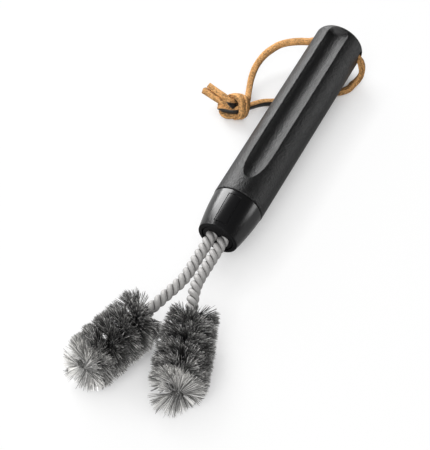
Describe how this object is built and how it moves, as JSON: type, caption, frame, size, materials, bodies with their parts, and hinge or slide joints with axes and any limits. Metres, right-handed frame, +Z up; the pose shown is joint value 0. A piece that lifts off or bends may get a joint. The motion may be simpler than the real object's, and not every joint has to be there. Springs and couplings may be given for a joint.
{
  "type": "grill cleaning brush",
  "caption": "Grill cleaning brush: fluted black grip, glossy tapered collar, splayed twisted-wire stems with round steel-bristle heads, and a knotted leather hang cord.",
  "frame": {"origin": "middle of the brush's footprint, on the surface it lies on, measured without the hang cord", "axes": "+Y from the bristle heads to the handle's tail, +Z up, +X to the right when looking from the heads to the tail"},
  "size_m": [0.1107, 0.3058, 0.0395],
  "materials": {
    "handle_plastic": "fine matte texture",
    "ferrule_plastic": "smooth satin gloss",
    "plug_plastic": "plain matte",
    "stem_wire_steel": "drawn satin wire",
    "bristle_steel": "fine wire, darker in the mass",
    "cord_leather": "suede"
  },
  "bodies": {
    "root": {"handle_grip": "handle_plastic", "ferrule": "ferrule_plastic", "stem_plug": "plug_plastic", "left_stem_wire_1": "stem_wire_steel", "left_stem_wire_2": "stem_wire_steel", "left_stem_wire_3": "stem_wire_steel", "left_stem_wire_4": "stem_wire_steel", "left_bristles": "bristle_steel", "right_stem_wire_1": "stem_wire_steel", "right_stem_wire_2": "stem_wire_steel", "right_stem_wire_3": "stem_wire_steel", "right_stem_wire_4": "stem_wire_steel", "right_bristles": "bristle_steel", "cord_left_stretch": "cord_leather", "cord_right_stretch": "cord_leather", "cord_knot": "cord_leather", "cord_tail_1": "cord_leather", "cord_tail_2": "cord_leather"}
  },
  "joints": []
}
